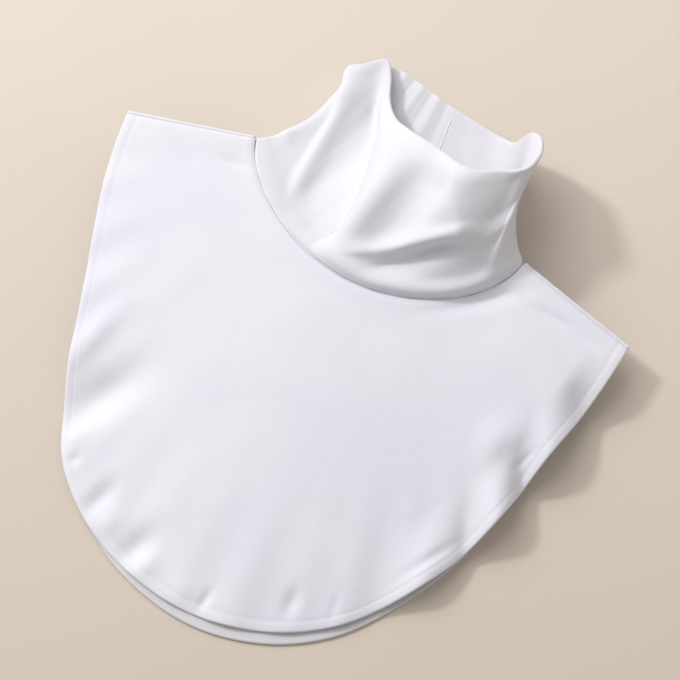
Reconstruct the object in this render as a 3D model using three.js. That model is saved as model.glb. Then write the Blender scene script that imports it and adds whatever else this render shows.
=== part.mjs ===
// Turtleneck dickey in white knitted jersey, lying on its back with the collar standing open.
// Millimetres. +X is towards the wearer's left shoulder, +Y towards the head, +Z up from the table.
import * as THREE from 'three';

// Cloth
const JERSEY = 1.2;
const HEM_AIR = 0.4;
const HEM_WIDTH = 9;
const COLLAR_WALL = 2.6;
const SEAM_GAP = 0.3;

// Bib
const SHOULDER_SPAN = 380;
const FRONT_LENGTH = 286;
const BACK_LONGER = 7;
const BACK_NARROWER = 10;
const BACK_SHIFT = 4;
const TIP_LIFT = 25;
const EDGE_WAVE = 0.9;
const EDGE_WAVES = 19;
const FRONT_DOME = 7;
const BACK_RISE_REACH = 0.22;
const BACK_EDGE_REACH = 0.07;

// Neckline
const NECK_WIDTH = 202;
const SHOULDER_RISE = 22;
const FRONT_NECK_DROP = 63;
const BACK_NECK_DROP = 18;
const NECK_TAPER = 0.17;
const NECK_SHIFT = 3;
const SHOULDER_LIFT = 27;
const FRONT_NECK_LIFT = 34;
const NECK_ROLL = 2;
const SHOULDER_ROLL = 1.6;

// Collar, laid over towards the head
const COLLAR_WIDTH = 160;
const COLLAR_REACH = 100;
const COLLAR_LIFT = 76;
const FOLD_DEPTH = 10;
const SEAM_BULGE = 2.5;
const FOOT_HOLLOW = 4;

// Mesh steps
const PANEL_COLUMNS = 84;
const PANEL_ROWS = 8;
const BACK_COLUMNS = 48;
const BACK_ROWS = 7;
const HEM_COLUMNS = 84;
const BACK_HEM_COLUMNS = 64;
const COLLAR_COLUMNS = 78;
const COLLAR_ROWS = 11;
const COLUMN_CROWD = 0.55;
const CROWD_TURN = 0.86;
const NECK_STEPS = 60;
const SHOULDER_STEPS = 10;

// Sizes that follow from the ones above
const HEM_THICK = 2 * JERSEY + HEM_AIR;
const HEM_STACK = HEM_THICK * 1.5 + SEAM_GAP;
const SEAM_SPREAD = HEM_THICK / 2 + SEAM_GAP / 2 + 0.05;
const HALF_SPAN = SHOULDER_SPAN / 2;
const HALF_NECK = NECK_WIDTH / 2;

// Half widths as shares of half the span, and edge lifts as shares of the tip lift
const OUTLINE = [
  { down: 0.0, left: 1.0, right: 1.0, liftLeft: 1.0, liftRight: 1.0 },
  { down: 0.1, left: 0.983, right: 0.98, liftLeft: 0.94, liftRight: 1.02 },
  { down: 0.19, left: 0.955, right: 0.955, liftLeft: 0.9, liftRight: 1.02 },
  { down: 0.32, left: 0.897, right: 0.905, liftLeft: 0.84, liftRight: 0.9 },
  { down: 0.45, left: 0.838, right: 0.863, liftLeft: 0.72, liftRight: 0.72 },
  { down: 0.6, left: 0.775, right: 0.79, liftLeft: 0.54, liftRight: 0.4 },
  { down: 0.69, left: 0.725, right: 0.72, liftLeft: 0.36, liftRight: 0.22 },
  { down: 0.8, left: 0.65, right: 0.605, liftLeft: 0.18, liftRight: 0.08 },
  { down: 0.88, left: 0.54, right: 0.49, liftLeft: 0.08, liftRight: 0.03 },
  { down: 0.95, left: 0.37, right: 0.32, liftLeft: 0.03, liftRight: 0.02 },
  { down: 0.99, left: 0.17, right: 0.13, liftLeft: 0.02, liftRight: 0.02 },
];

// Soft dents in the front, just inside its hem
const DENTS = [
  { along: 0.285, across: 0.8, deep: 3.2, long: 0.032, wide: 0.12 },
  { along: 0.375, across: 0.88, deep: 2.2, long: 0.014, wide: 0.07 },
  { along: 0.43, across: 0.9, deep: 2.2, long: 0.014, wide: 0.06 },
  { along: 0.515, across: 0.9, deep: 1.6, long: 0.012, wide: 0.05 },
  { along: 0.61, across: 0.88, deep: 1.6, long: 0.014, wide: 0.05 },
  { along: 0.73, across: 0.87, deep: 2.4, long: 0.016, wide: 0.07 },
  { along: 0.82, across: 0.86, deep: 2.0, long: 0.016, wide: 0.07 },
];

// Waves of the front hem at the wearer's left, as shares of the tip lift; a dip is negative
const WAVES = [
  { along: 0.933, up: -0.54, wide: 0.023 },
  { along: 0.883, up: 0.2, wide: 0.014 },
  { along: 0.846, up: -0.54, wide: 0.015 },
  { along: 0.807, up: 0.34, wide: 0.02 },
  { along: 0.767, up: -0.18, wide: 0.012 },
  { along: 0.722, up: 0.44, wide: 0.022 },
];

// Collar wall at stations round the neck, where turn 0 is the front and 0.25 the +X side.
// Across, head and up are shares of the collar's half width, reach and lift, at half height and at the rim.
const COLLAR = [
  { turn: 0.0, midX: 0.238, midY: 0.03, midZ: 0.717, rimX: 0.463, rimY: 0.524, rimZ: 0.908 },
  { turn: 0.03, midX: 0.4, midY: 0.04, midZ: 0.737, rimX: 0.58, rimY: 0.518, rimZ: 0.987 },
  { turn: 0.06, midX: 0.588, midY: 0.085, midZ: 0.737, rimX: 0.744, rimY: 0.579, rimZ: 1.0 },
  { turn: 0.12, midX: 0.869, midY: 0.2, midZ: 0.724, rimX: 0.933, rimY: 0.66, rimZ: 1.0 },
  { turn: 0.155, midX: 0.981, midY: 0.31, midZ: 0.737, rimX: 0.995, rimY: 0.752, rimZ: 0.947 },
  { turn: 0.18, midX: 1.012, midY: 0.39, midZ: 0.77, rimX: 1.006, rimY: 0.884, rimZ: 0.816 },
  { turn: 0.21, midX: 1.019, midY: 0.45, midZ: 0.684, rimX: 0.958, rimY: 0.981, rimZ: 0.737 },
  { turn: 0.24, midX: 1.019, midY: 0.49, midZ: 0.566, rimX: 0.883, rimY: 1.013, rimZ: 0.658 },
  { turn: 0.265, midX: 1.006, midY: 0.51, midZ: 0.447, rimX: 0.843, rimY: 1.025, rimZ: 0.526 },
  { turn: 0.29, midX: 0.975, midY: 0.525, midZ: 0.303, rimX: 0.804, rimY: 1.022, rimZ: 0.368 },
  { turn: 0.315, midX: 0.925, midY: 0.535, midZ: 0.164, rimX: 0.745, rimY: 1.002, rimZ: 0.211 },
  { turn: 0.34, midX: 0.838, midY: 0.54, midZ: 0.079, rimX: 0.627, rimY: 1.022, rimZ: 0.118 },
  { turn: 0.4, midX: 0.55, midY: 0.55, midZ: 0.037, rimX: 0.357, rimY: 1.061, rimZ: 0.066 },
  { turn: 0.47, midX: 0.175, midY: 0.55, midZ: 0.03, rimX: 0.119, rimY: 1.087, rimZ: 0.053 },
  { turn: 0.54, midX: -0.231, midY: 0.57, midZ: 0.03, rimX: -0.151, rimY: 1.13, rimZ: 0.053 },
  { turn: 0.61, midX: -0.594, midY: 0.58, midZ: 0.034, rimX: -0.409, rimY: 1.17, rimZ: 0.053 },
  { turn: 0.66, midX: -0.762, midY: 0.58, midZ: 0.053, rimX: -0.584, rimY: 1.168, rimZ: 0.053 },
  { turn: 0.7, midX: -0.85, midY: 0.57, midZ: 0.099, rimX: -0.714, rimY: 1.09, rimZ: 0.059 },
  { turn: 0.725, midX: -0.888, midY: 0.565, midZ: 0.138, rimX: -0.806, rimY: 1.015, rimZ: 0.079 },
  { turn: 0.745, midX: -0.9, midY: 0.56, midZ: 0.184, rimX: -0.837, rimY: 1.032, rimZ: 0.118 },
  { turn: 0.77, midX: -0.869, midY: 0.54, midZ: 0.224, rimX: -0.748, rimY: 1.079, rimZ: 0.158 },
  { turn: 0.8, midX: -0.788, midY: 0.51, midZ: 0.243, rimX: -0.582, rimY: 1.175, rimZ: 0.164 },
  { turn: 0.82, midX: -0.725, midY: 0.465, midZ: 0.25, rimX: -0.499, rimY: 1.086, rimZ: 0.184 },
  { turn: 0.845, midX: -0.638, midY: 0.37, midZ: 0.263, rimX: -0.398, rimY: 0.899, rimZ: 0.23 },
  { turn: 0.87, midX: -0.538, midY: 0.28, midZ: 0.303, rimX: -0.272, rimY: 0.763, rimZ: 0.395 },
  { turn: 0.9, midX: -0.375, midY: 0.2, midZ: 0.474, rimX: -0.094, rimY: 0.673, rimZ: 0.618 },
  { turn: 0.935, midX: -0.162, midY: 0.13, midZ: 0.684, rimX: 0.099, rimY: 0.625, rimZ: 0.724 },
  { turn: 0.97, midX: 0.05, midY: 0.07, midZ: 0.704, rimX: 0.291, rimY: 0.577, rimZ: 0.803 },
];

// Folds in the collar: turn at the seam and at the rim, how late they swing over from one to the other,
// the span of heights that they show at, depth as a share, and width in turns
const FOLDS = [
  { seam: -0.098, rim: -0.25, swing: 1.4, low: 0.1, high: 1.1, deep: 0.4, wide: 0.014 },
  { seam: -0.085, rim: -0.215, swing: 1.7, low: 0.12, high: 1.0, deep: -0.25, wide: 0.028 },
  { seam: -0.05, rim: -0.15, swing: 2.0, low: 0.12, high: 1.0, deep: 0.45, wide: 0.022 },
  { seam: -0.01, rim: -0.04, swing: 2.1, low: 0.12, high: 0.98, deep: -0.6, wide: 0.034 },
  { seam: 0.14, rim: -0.012, swing: 1.0, low: 0.5, high: 1.0, deep: 0.3, wide: 0.022 },
  { seam: -0.01, rim: 0.12, swing: 1.0, low: 0.08, high: 0.6, deep: 0.45, wide: 0.022 },
  { seam: 0.035, rim: 0.155, swing: 1.0, low: 0.08, high: 0.52, deep: -0.3, wide: 0.026 },
  { seam: 0.2, rim: 0.215, swing: 1.0, low: 0.25, high: 0.75, deep: -0.3, wide: 0.03 },
  { seam: 0.575, rim: 0.575, swing: 1.0, low: 0.3, high: 1.0, deep: -0.14, wide: 0.009 },
  { seam: 0.605, rim: 0.61, swing: 1.0, low: 0.3, high: 1.0, deep: -0.18, wide: 0.009 },
  { seam: 0.635, rim: 0.645, swing: 1.0, low: 0.3, high: 1.0, deep: -0.16, wide: 0.009 },
];

const vec = (x, y, z) => new THREE.Vector3(x, y, z);

function smooth(x) {
  const t = Math.min(1, Math.max(0, x));
  return t * t * (3 - 2 * t);
}

function bell(x) {
  return Math.exp(-x * x);
}

// Outline from the left shoulder tip round the bottom to the right tip, evenly spaced
function outlineCurve(halfSpan, length, shift) {
  const left = OUTLINE.map((r) => vec(-r.left * halfSpan + shift * r.down, -r.down * length, r.liftLeft));
  const right = OUTLINE.map((r) => vec(r.right * halfSpan + shift * r.down, -r.down * length, r.liftRight));
  const bottom = vec(shift - 0.02 * halfSpan, -length, 0);
  const curve = new THREE.CatmullRomCurve3([...left, bottom, ...right.reverse()], false, 'centripetal');
  curve.arcLengthDivisions = 800;
  return curve;
}

const frontOutline = outlineCurve(HALF_SPAN, FRONT_LENGTH, 0);
const backOutline = outlineCurve(HALF_SPAN - BACK_NARROWER / 2, FRONT_LENGTH + BACK_LONGER, BACK_SHIFT);
backOutline.points[0].x = -HALF_SPAN;
backOutline.points[backOutline.points.length - 1].x = HALF_SPAN;

// How far the back has risen towards the nearer shoulder, 0 on the table to 1 at the seam.
// At the neck it starts to rise further from the shoulder than at its outer edge.
function backRise(along, across) {
  const reach = BACK_RISE_REACH + (BACK_EDGE_REACH - BACK_RISE_REACH) * across;
  return 1 - smooth(Math.min(along, 1 - along) / reach);
}

// Closed neckline that the collar is sewn to
function neckLine(turn) {
  const angle = 2 * Math.PI * turn;
  const front = Math.max(0, Math.cos(angle));
  const back = Math.max(0, -Math.cos(angle));
  const x = HALF_NECK * Math.sin(angle) * (1 - NECK_TAPER * front) + NECK_SHIFT * front;
  const y = SHOULDER_RISE - FRONT_NECK_DROP * front - BACK_NECK_DROP * back;
  const along = 0.5 - Math.asin(Math.sin(angle)) / Math.PI;
  const frontZ = SHOULDER_LIFT + (FRONT_NECK_LIFT - SHOULDER_LIFT) * front;
  const backZ = NECK_ROLL + (SHOULDER_LIFT - NECK_ROLL) * backRise(along, 0);
  return vec(x, y, back > 0 ? backZ : frontZ);
}

function neckTangent(turn) {
  return neckLine(turn + 0.002).sub(neckLine(turn - 0.002)).normalize();
}

function shoulderHeight(across) {
  return SHOULDER_LIFT + (TIP_LIFT - SHOULDER_LIFT) * across;
}

// Middle of the front's cloth, domed between the neck and its lifted, wavy edge
function frontHeight(along, across) {
  const neck = neckLine(-0.25 + 0.5 * along).z;
  const edge = frontOutline.getPointAt(along).z;
  const lifted = HEM_STACK + edge * (TIP_LIFT - HEM_STACK);
  const nearShoulder = 1 - smooth(Math.min(along, 1 - along) / 0.06);
  const dome = FRONT_DOME * 4 * across * (1 - across) * Math.sqrt(Math.sin(Math.PI * along) + 1e-9);
  const fullness = (1 - nearShoulder) * smooth((across - 0.5) * 2);
  const wave = EDGE_WAVE * fullness * (1 + Math.sin(2 * Math.PI * EDGE_WAVES * along));
  let z = neck + (lifted - neck) * across + dome + wave + SEAM_SPREAD * nearShoulder;
  for (const w of WAVES) {
    z += TIP_LIFT * w.up * bell((along - w.along) / w.wide) * smooth((across - 0.8) / 0.2);
  }
  for (const d of DENTS) {
    z -= d.deep * bell((along - d.along) / d.long) * bell((across - d.across) / d.wide) * fullness;
  }
  return Math.max(z, HEM_STACK + (neck - HEM_STACK) * (1 - smooth(across * 3)) * 0.2);
}

// Middle of the back's cloth, which lies flat on the table away from the shoulders
function backHeight(along, across, thick) {
  const rest = thick / 2;
  const seam = shoulderHeight(across) - SEAM_SPREAD;
  return rest + (seam - rest) * backRise(along, across);
}

// Point of a panel from the neckline, across 0, to its outline, across 1
function panelPoint(front, along, across, thick) {
  const neck = neckLine(front ? -0.25 + 0.5 * along : 0.75 - 0.5 * along);
  const edge = (front ? frontOutline : backOutline).getPointAt(along);
  const x = neck.x + (edge.x - neck.x) * across;
  const y = neck.y + (edge.y - neck.y) * across;
  return vec(x, y, front ? frontHeight(along, across) : backHeight(along, across, thick));
}

// Share of a panel's column that is a given distance from its outline
function acrossAt(front, along, distance) {
  const outline = front ? frontOutline : backOutline;
  const neck = neckLine(front ? -0.25 + 0.5 * along : 0.75 - 0.5 * along);
  const edge = outline.getPointAt(along);
  const tangent = outline.getTangentAt(along);
  const run = vec(edge.x - neck.x, edge.y - neck.y, 0);
  const sine = Math.abs(run.x * tangent.y - run.y * tangent.x) / (run.length() * Math.hypot(tangent.x, tangent.y));
  return 1 - distance / Math.max(0.3, sine) / run.length();
}

// Solid from rings of points: a closed loop of rings, or an open run with both ends capped
function sweep(rings, closed) {
  const n = rings[0].length;
  const positions = rings.flat().flatMap((p) => [p.x, p.y, p.z]);
  const faces = [];
  const last = closed ? rings.length : rings.length - 1;
  for (let i = 0; i < last; i += 1) {
    const next = (i + 1) % rings.length;
    for (let j = 0; j < n; j += 1) {
      const k = (j + 1) % n;
      faces.push(i * n + j, next * n + j, next * n + k, i * n + j, next * n + k, i * n + k);
    }
  }
  if (!closed) {
    for (const [start, flip] of [[0, false], [(rings.length - 1) * n, true]]) {
      for (let j = 0; j < n / 2 - 1; j += 1) {
        const quad = [start + j, start + j + 1, start + n - 2 - j, start + n - 1 - j];
        const tri = [quad[0], quad[1], quad[2], quad[0], quad[2], quad[3]];
        faces.push(...(flip ? tri.reverse() : tri));
      }
    }
  }
  let volume = 0;
  const at = (i) => vec(positions[3 * i], positions[3 * i + 1], positions[3 * i + 2]);
  for (let f = 0; f < faces.length; f += 3) {
    volume += at(faces[f]).dot(at(faces[f + 1]).cross(at(faces[f + 2])));
  }
  if (volume < 0) {
    faces.reverse();
  }
  const geometry = new THREE.BufferGeometry();
  geometry.setAttribute('position', new THREE.Float32BufferAttribute(positions, 3));
  geometry.setIndex(faces);
  geometry.computeVertexNormals();
  return geometry;
}

// One layer of jersey from the neck seam to the hem
function panel(front, columns, rows) {
  const rings = [];
  for (let i = 0; i <= columns; i += 1) {
    const along = i / columns;
    const neck = neckLine(front ? -0.25 + 0.5 * along : 0.75 - 0.5 * along);
    const edge = (front ? frontOutline : backOutline).getPointAt(along);
    const start = (NECK_ROLL + SEAM_GAP) / Math.hypot(edge.x - neck.x, edge.y - neck.y);
    const end = acrossAt(front, along, HEM_WIDTH + SEAM_GAP);
    const top = [];
    const under = [];
    for (let j = 0; j <= rows; j += 1) {
      const share = j / rows;
      const across = start + (end - start) * (front ? 1 - (1 - share) ** 1.3 : share);
      const p = panelPoint(front, along, across, JERSEY);
      top.push(p.clone().setZ(p.z + JERSEY / 2));
      under.push(p.clone().setZ(p.z - JERSEY / 2));
    }
    rings.push([...top, ...under.reverse()]);
  }
  return sweep(rings, false);
}

// Turned hem, two layers with a rounded outer fold
function hem(front, columns) {
  const half = HEM_THICK / 2;
  const profile = [
    { in: 1.0, up: 0.8 },
    { in: 0.5, up: 1.0 },
    { in: 0.12, up: 0.85 },
    { in: 0.0, up: 0.3 },
    { in: 0.0, up: -0.3 },
    { in: 0.12, up: -0.85 },
    { in: 0.5, up: -1.0 },
    { in: 1.0, up: -1.0 },
  ];
  const rings = [];
  for (let i = 0; i <= columns; i += 1) {
    const along = i / columns;
    rings.push(profile.map((r) => {
      const p = panelPoint(front, along, acrossAt(front, along, r.in * HEM_WIDTH), HEM_THICK);
      return p.setZ(p.z + r.up * half);
    }));
  }
  return sweep(rings, false);
}

// Closed seam standing along one shoulder, outside the edges of both panels
function shoulderSeam(side) {
  const neck = neckLine(0.25 * side);
  const tip = frontOutline.getPointAt(side < 0 ? 0 : 1);
  const run = vec(tip.x - neck.x, tip.y - neck.y, 0);
  const out = vec(-run.y, run.x, 0).multiplyScalar(side / run.length());
  const rings = [];
  for (let i = 0; i <= SHOULDER_STEPS; i += 1) {
    const start = (NECK_ROLL + SEAM_GAP) / run.length();
    const across = start + ((1 - start) * i) / SHOULDER_STEPS;
    const tall = SEAM_SPREAD + JERSEY / 2 + (HEM_THICK - JERSEY) / 2 * smooth(across * 4 - 3);
    const ring = [];
    for (let j = 0; j < 8; j += 1) {
      const angle = (2 * Math.PI * (j + 0.5)) / 8;
      const off = SHOULDER_ROLL + SEAM_GAP + SHOULDER_ROLL * Math.cos(angle);
      const z = shoulderHeight(across) + tall * Math.sin(angle);
      ring.push(vec(neck.x + run.x * across + out.x * off, neck.y + run.y * across + out.y * off, z));
    }
    rings.push(ring);
  }
  return sweep(rings, false);
}

// Seam allowance rolled under, all round the neckline
function neckSeam() {
  const rings = [];
  for (let i = 0; i < NECK_STEPS; i += 1) {
    const turn = i / NECK_STEPS;
    const p = neckLine(turn);
    const ahead = neckTangent(turn);
    const out = vec(ahead.y, -ahead.x, 0).normalize();
    const up = out.clone().cross(ahead).normalize();
    const ring = [];
    for (let j = 0; j < 6; j += 1) {
      const angle = (2 * Math.PI * j) / 6;
      const off = out.clone().multiplyScalar(NECK_ROLL * Math.cos(angle));
      ring.push(p.clone().add(off).addScaledVector(up, NECK_ROLL * Math.sin(angle)));
    }
    rings.push(ring);
  }
  return sweep(rings, true);
}

// Periodic smooth curve through the stations, one for each column of points
function stationCurve(toPoint) {
  const points = COLLAR.map(toPoint);
  const last = COLLAR.length;
  return (turn) => {
    const t = turn - Math.floor(turn);
    let i = last - 1;
    while (COLLAR[i].turn > t) {
      i -= 1;
    }
    const at = (k) => COLLAR[(k + last) % last].turn + Math.floor(k / last);
    const p = (k) => points[(k + last) % last];
    const span = at(i + 1) - at(i);
    const u = (t - at(i)) / span;
    const slope = (k) => p(k + 1).clone().sub(p(k - 1)).multiplyScalar(span / (at(k + 1) - at(k - 1)));
    return p(i).clone().multiplyScalar(2 * u ** 3 - 3 * u ** 2 + 1)
      .addScaledVector(slope(i), u ** 3 - 2 * u ** 2 + u)
      .addScaledVector(p(i + 1), 3 * u ** 2 - 2 * u ** 3)
      .addScaledVector(slope(i + 1), u ** 3 - u ** 2);
  };
}

const collarMiddle = stationCurve((r) => vec(
  (r.midX * COLLAR_WIDTH) / 2, r.midY * COLLAR_REACH, r.midZ * COLLAR_LIFT));
const collarRim = stationCurve((r) => vec(
  (r.rimX * COLLAR_WIDTH) / 2, r.rimY * COLLAR_REACH, r.rimZ * COLLAR_LIFT));

// Smooth wall of the collar through its seam, its middle and its rim
function collarBase(turn, high) {
  const seam = neckLine(turn);
  const middle = collarMiddle(turn);
  const ahead = neckTangent(turn);
  const rise = middle.clone().sub(seam);
  rise.addScaledVector(ahead, -rise.dot(ahead)).normalize();
  return seam.addScaledVector(rise, NECK_ROLL + SEAM_GAP * 3)
    .multiplyScalar((1 - high) * (1 - 2 * high))
    .addScaledVector(middle, 4 * high * (1 - high))
    .addScaledVector(collarRim(turn), high * (2 * high - 1));
}

function collarNormal(turn, high) {
  const a = collarBase(turn + 0.004, high).sub(collarBase(turn - 0.004, high));
  const b = collarBase(turn, high + 0.01).sub(collarBase(turn, high - 0.01));
  return a.cross(b).normalize();
}

function foldDepth(turn, high) {
  let depth = 0;
  for (const f of FOLDS) {
    const centre = f.seam + (f.rim - f.seam) * Math.max(0, high) ** f.swing;
    const away = turn - centre - Math.round(turn - centre);
    const rise = smooth((high - f.low) / 0.18) * smooth((f.high - high) / 0.18);
    depth += f.deep * rise * bell(away / f.wide);
  }
  const front = smooth(0.8 + Math.cos(2 * Math.PI * turn));
  const middle = smooth(0.4 + Math.cos(2 * Math.PI * (turn - 0.05)));
  const roll = SEAM_BULGE * smooth(high / 0.05) * bell((high - 0.07) / 0.05);
  const hollow = FOOT_HOLLOW * bell((high - 0.2) / 0.11) * middle;
  return FOLD_DEPTH * depth + (roll - hollow) * front;
}

function collarPoint(turn, high) {
  return collarBase(turn, high).addScaledVector(collarNormal(turn, high), foldDepth(turn, high));
}

// Collar tube, folded double so that its rim is a soft round fold
function collar() {
  const rings = [];
  const half = COLLAR_WALL / 2;
  for (let i = 0; i < COLLAR_COLUMNS; i += 1) {
    const even = i / COLLAR_COLUMNS;
    const turn = even - (COLUMN_CROWD / (2 * Math.PI)) * Math.sin(2 * Math.PI * (even - CROWD_TURN));
    const outer = [];
    const inner = [];
    for (let j = 0; j <= COLLAR_ROWS; j += 1) {
      const high = j / COLLAR_ROWS;
      const p = collarPoint(turn, high);
      const a = collarPoint(turn + 0.006, high).sub(collarPoint(turn - 0.006, high));
      const b = collarPoint(turn, high + 0.02).sub(collarPoint(turn, high - 0.02));
      const normal = a.cross(b).normalize();
      outer.push(p.clone().addScaledVector(normal, half));
      inner.push(p.clone().addScaledVector(normal, -half));
    }
    const over = collarPoint(turn, 1 + 0.6 * half / COLLAR_LIFT);
    rings.push([...outer, over, ...inner.reverse()]);
  }
  return sweep(rings, true);
}

function cloth(name, geometry, color, roughness) {
  const material = new THREE.MeshStandardMaterial({ color, roughness, metalness: 0 });
  const mesh = new THREE.Mesh(geometry, material);
  mesh.name = name;
  return mesh;
}

const dickey = new THREE.Group();
dickey.name = 'turtleneck_dickey';
dickey.add(
  cloth('back_panel', panel(false, BACK_COLUMNS, BACK_ROWS), '#e6e6ec', 0.9),
  cloth('back_hem', hem(false, BACK_HEM_COLUMNS), '#e8e8ee', 0.9),
  cloth('front_panel', panel(true, PANEL_COLUMNS, PANEL_ROWS), '#ebebf1', 0.9),
  cloth('front_hem', hem(true, HEM_COLUMNS), '#f0f0f5', 0.9),
  cloth('shoulder_seam_left', shoulderSeam(1), '#ececf1', 0.92),
  cloth('shoulder_seam_right', shoulderSeam(-1), '#ededf2', 0.92),
  cloth('neck_seam', neckSeam(), '#e4e4ea', 0.92),
  cloth('collar', collar(), '#eeeef2', 0.88),
);

// Origin under the middle of the whole piece, on the table
const box = new THREE.Box3().setFromObject(dickey);
dickey.position.set((box.min.x + box.max.x) / -2, (box.min.y + box.max.y) / -2, -box.min.z);

export default dickey;
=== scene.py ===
import bpy
import numpy as np
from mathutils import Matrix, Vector


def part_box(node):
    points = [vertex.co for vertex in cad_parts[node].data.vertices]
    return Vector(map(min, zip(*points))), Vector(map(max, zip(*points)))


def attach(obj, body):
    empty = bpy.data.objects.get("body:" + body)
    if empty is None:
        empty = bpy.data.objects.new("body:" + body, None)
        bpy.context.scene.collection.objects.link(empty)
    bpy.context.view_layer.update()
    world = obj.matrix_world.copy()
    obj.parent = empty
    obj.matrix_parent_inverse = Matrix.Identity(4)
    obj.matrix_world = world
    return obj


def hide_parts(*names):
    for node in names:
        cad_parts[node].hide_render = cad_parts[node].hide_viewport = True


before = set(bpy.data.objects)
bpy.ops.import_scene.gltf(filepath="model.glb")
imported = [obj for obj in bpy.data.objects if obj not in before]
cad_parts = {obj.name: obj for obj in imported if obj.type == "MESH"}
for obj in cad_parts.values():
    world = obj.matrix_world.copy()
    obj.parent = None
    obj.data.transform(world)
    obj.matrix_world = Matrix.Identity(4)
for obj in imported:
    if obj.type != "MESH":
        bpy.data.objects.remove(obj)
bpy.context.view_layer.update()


# Back bib
# The back half of the dickey, one layer of jersey cut with a rounded bottom and a turned hem.
# It lies flat on the table and rises only at the shoulders, where it is sewn to the front.
# Garment millimetres: x towards the wearer's left shoulder, y towards the head, z up.
CLOTH = 1.1
FOLD_RADIUS = 0.75
HEM = 9.0
HALF_SPAN = 190.0
LENGTH = 286.0
BOTTOM_SHIFT = 0.02
BACK_LONGER = 7.0
BACK_NARROWER = 6.5
BACK_SHIFT = 6.5
TIP_LIFT = 25.0
SHOULDER_LIFT = 27.0
HALF_NECK = 101.0
NECK_RISE = 22.0
FRONT_DROP = 63.0
BACK_DROP = 18.0
NECK_TAPER = 0.17
NECK_SHIFT = 3.0
NECK_LIFT = 34.0
NECK_ROLL = 2.0
NECK_TUCK = 0.6
SEAM_SPREAD = 1.6
BACK_REACH = 0.22
BACK_EDGE_REACH = 0.07
HEM_REST_START = 0.3
HEM_REST_REACH = 0.6
# The back's colours are the front's white jersey made darker: painted shade for where the back lies in the
# front bib's shadow.
BACK_FACE_PAINTED_SHADE = "#D3D2D6"
BACK_PATCH_PAINTED_SHADE = "#CECDD3"

# Shares of the half span to the left and right at each share of the length down from the
# shoulder tips, and how far the edge is lifted there as a share of the tips' lift
OUTLINE = np.array([
    # down, left, right, lift_left, lift_right
    (0.0, 1.0, 1.0, 1.0, 1.0),
    (0.1, 0.983, 0.98, 0.94, 1.02),
    (0.19, 0.955, 0.955, 0.9, 1.02),
    (0.32, 0.897, 0.905, 0.84, 0.9),
    (0.45, 0.838, 0.863, 0.72, 0.72),
    (0.6, 0.775, 0.79, 0.54, 0.4),
    (0.69, 0.725, 0.72, 0.36, 0.22),
    (0.8, 0.65, 0.605, 0.18, 0.08),
    (0.88, 0.54, 0.49, 0.08, 0.03),
    (0.95, 0.37, 0.32, 0.03, 0.02),
    (0.99, 0.17, 0.13, 0.02, 0.02),
])

# The grid of a bib: points of its edge path, columns and rows of the cloth, and the rows over the
# hem, round its fold and back under it, with the space left before the hem and beside the fold
PATH_POINTS = 3000
BACK_COLUMNS = 300
BACK_ROWS = 70
ROW_SPREAD = 1.15
HEM_ROWS = 9
CURL_ROWS = 7
UNDER_ROWS = 6
BEFORE_HEM = 1.5
BEFORE_CURL = 0.8
AFTER_CURL = 1.2
PATH_STEP = 0.001
LEAST_SINE = 0.3

# The garment's millimetres to the frame's metres: the back hem's lowest point sets the shift
MM = 0.001
GARMENT_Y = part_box("back_hem")[0].y / MM + LENGTH + BACK_LONGER


def bell(x):
    """A smooth bump, 1 in the middle and fading to 0 on both sides."""
    return np.exp(-x * x)


def smooth(x):
    """Goes from 0 to 1 with no corner as x goes from 0 to 1."""
    t = np.clip(x, 0, 1)
    return t * t * (3 - 2 * t)


def curve_through(knots, values, at):
    """Smooth curve through values at the knots: a cubic on each span, sloped as its neighbours are."""
    slopes = np.gradient(values, knots, axis=0)
    i = np.clip(np.searchsorted(knots, at, side="right") - 1, 0, len(knots) - 2)
    span = (knots[i + 1] - knots[i])[..., None]
    u = (at - knots[i])[..., None] / span
    bend = span * ((u**3 - 2 * u**2 + u) * slopes[i] + (u**3 - u**2) * slopes[i + 1])
    return values[i] + (3 * u**2 - 2 * u**3) * (values[i + 1] - values[i]) + bend


def outline_path(half_span, length, shift):
    """Edge of a bib from the -x shoulder tip round the bottom to the +x tip, evenly spaced: a smooth
    curve through the outline's points. Its columns are x, y and the share of lift."""
    down = OUTLINE[:, 0]
    x_at = shift * down
    left = np.stack([x_at - OUTLINE[:, 1] * half_span, -down * length, OUTLINE[:, 3]], 1)
    right = np.stack([x_at + OUTLINE[:, 2] * half_span, -down * length, OUTLINE[:, 4]], 1)
    bottom = [[shift - BOTTOM_SHIFT * half_span, -length, 0]]
    points = np.vstack([left, bottom, right[::-1]])
    points[0, 0], points[-1, 0] = -HALF_SPAN, HALF_SPAN
    knots = np.r_[0, np.cumsum(np.sqrt(np.linalg.norm(np.diff(points, axis=0), axis=1)))]
    path = curve_through(knots, points, np.linspace(0, knots[-1], PATH_POINTS))
    run = np.r_[0, np.cumsum(np.linalg.norm(np.diff(path[:, :2], axis=0), axis=1))]
    even = np.linspace(0, run[-1], PATH_POINTS)
    return np.stack([np.interp(even, run, path[:, k]) for k in range(3)], 1)


def on_path(path, along):
    """Point of an evenly spaced path at each share of its length."""
    steps = np.linspace(0, 1, len(path))
    return np.stack([np.interp(along, steps, path[:, k]) for k in range(3)], -1)


def back_rise(along, across=0.0):
    """How far the back has risen towards the nearer shoulder, 0 on the table to 1 at the seam.
    At the neck it starts to rise further from the shoulder than at its outer edge."""
    reach = BACK_REACH + (BACK_EDGE_REACH - BACK_REACH) * across
    return 1 - smooth(np.minimum(along, 1 - along) / reach)


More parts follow.
